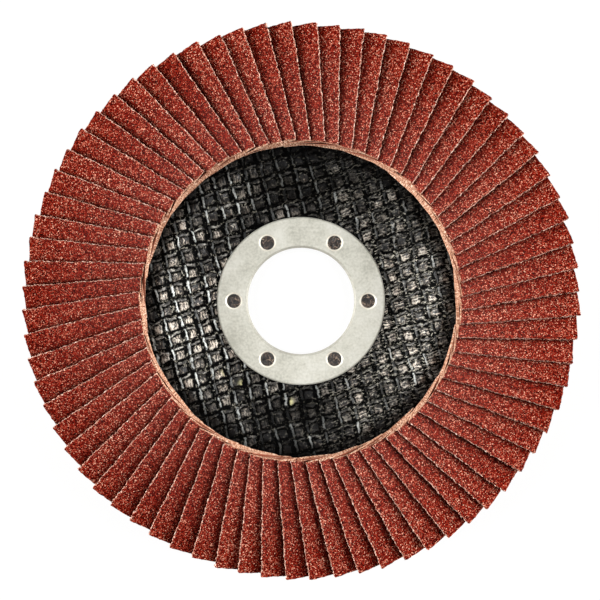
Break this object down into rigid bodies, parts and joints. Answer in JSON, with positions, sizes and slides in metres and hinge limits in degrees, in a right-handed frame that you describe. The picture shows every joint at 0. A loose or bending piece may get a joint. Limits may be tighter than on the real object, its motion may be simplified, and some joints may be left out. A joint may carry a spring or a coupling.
{
  "type": "flap disc",
  "caption": "Flap disc for an angle grinder: overlapping abrasive cloth flaps glued in a fan to a dished glass-fibre backing plate with a steel centre ring.",
  "frame": {"origin": "centre of the bore at the flat back face of the hub, on which the disc lies", "axes": "+Z along the bore axis towards the abrasive side; the six resin-filled holes of the ring start on +X"},
  "size_m": [0.115, 0.115, 0.0145],
  "materials": {
    "phenolic_plate": "dark phenolic resin over woven glass mesh, semi-gloss",
    "zinc_steel": "zinc-plated steel, satin",
    "adhesive": "cured dark adhesive",
    "abrasive_cloth": "red-brown aluminium oxide grit on cream cotton cloth, rough"
  },
  "bodies": {
    "root": {"backing_plate": "phenolic_plate", "centre_ring": "zinc_steel", "adhesive_bed": "adhesive", "flap_pair_01": "abrasive_cloth", "flap_pair_02": "abrasive_cloth", "flap_pair_03": "abrasive_cloth", "flap_pair_04": "abrasive_cloth", "flap_pair_05": "abrasive_cloth", "flap_pair_06": "abrasive_cloth", "flap_pair_07": "abrasive_cloth", "flap_pair_08": "abrasive_cloth", "flap_pair_09": "abrasive_cloth", "flap_pair_10": "abrasive_cloth", "flap_pair_11": "abrasive_cloth", "flap_pair_12": "abrasive_cloth", "flap_pair_13": "abrasive_cloth", "flap_pair_14": "abrasive_cloth", "flap_pair_15": "abrasive_cloth", "flap_pair_16": "abrasive_cloth", "flap_pair_17": "abrasive_cloth", "flap_pair_18": "abrasive_cloth", "flap_pair_19": "abrasive_cloth", "flap_pair_20": "abrasive_cloth", "flap_pair_21": "abrasive_cloth", "flap_pair_22": "abrasive_cloth", "flap_pair_23": "abrasive_cloth", "flap_pair_24": "abrasive_cloth", "flap_pair_25": "abrasive_cloth", "flap_pair_26": "abrasive_cloth", "flap_pair_27": "abrasive_cloth", "flap_pair_28": "abrasive_cloth", "flap_pair_29": "abrasive_cloth", "flap_pair_30": "abrasive_cloth", "flap_pair_31": "abrasive_cloth", "flap_pair_32": "abrasive_cloth", "flap_pair_33": "abrasive_cloth", "flap_pair_34": "abrasive_cloth", "flap_pair_35": "abrasive_cloth", "flap_pair_36": "abrasive_cloth"}
  },
  "joints": []
}
